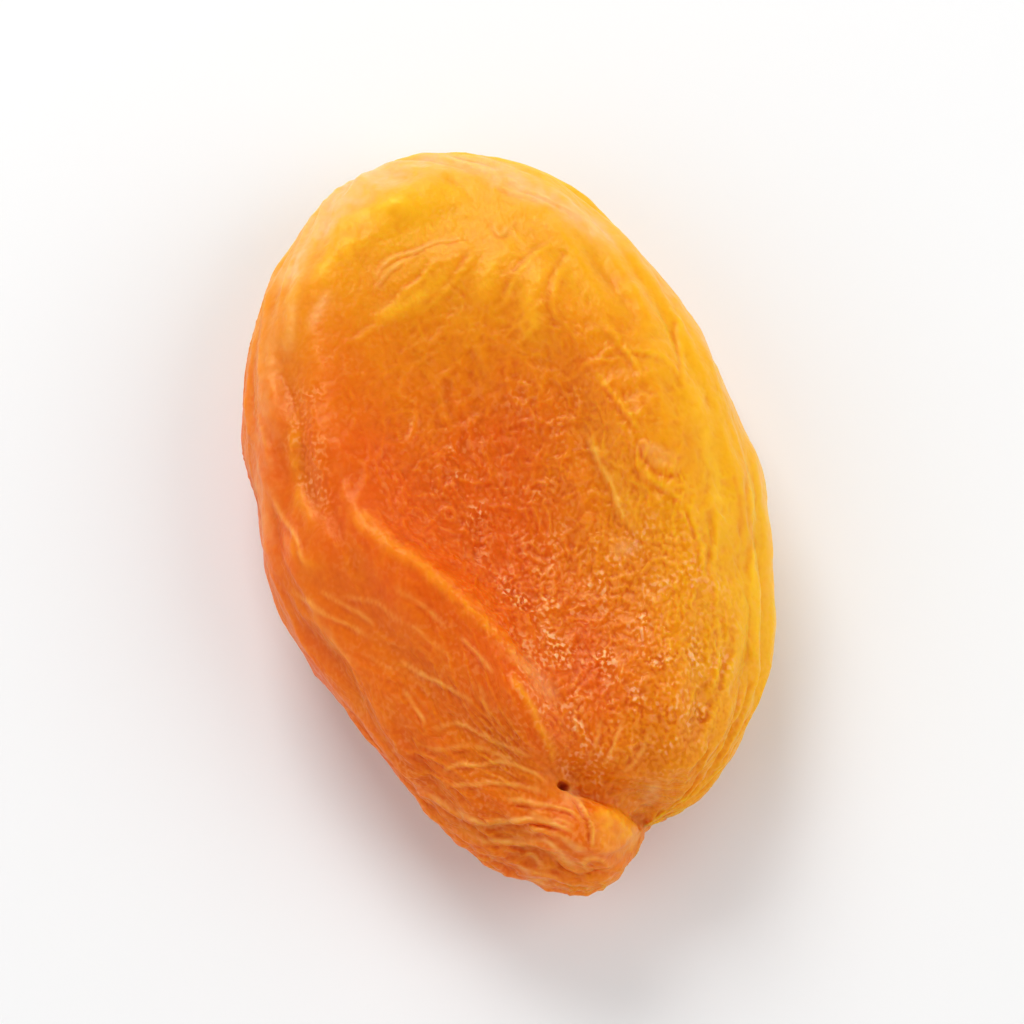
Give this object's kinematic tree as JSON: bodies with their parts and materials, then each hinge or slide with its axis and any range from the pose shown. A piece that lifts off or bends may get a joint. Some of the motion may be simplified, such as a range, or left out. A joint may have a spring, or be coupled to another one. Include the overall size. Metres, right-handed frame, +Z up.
{
  "type": "dried apricot",
  "caption": "Pitted, dried apricot: a flattened oval fruit with a sunken face, a closed split lip, a pinched stem end and wrinkled flanks.",
  "frame": {"origin": "on the surface that the fruit lies on, under the middle of its box", "axes": "+Z up, out of the sunken face; +Y along the fruit towards the blossom end, -Y towards the pinched stem end; +X towards the large lobe beside the cleft"},
  "size_m": [0.03, 0.0464, 0.0123],
  "materials": {
    "dried_flesh": "moist, slightly glossy translucent orange dried fruit, finely wrinkled, yellow where it is thin"
  },
  "bodies": {
    "root": {"dried_apricot": "dried_flesh"}
  },
  "joints": []
}
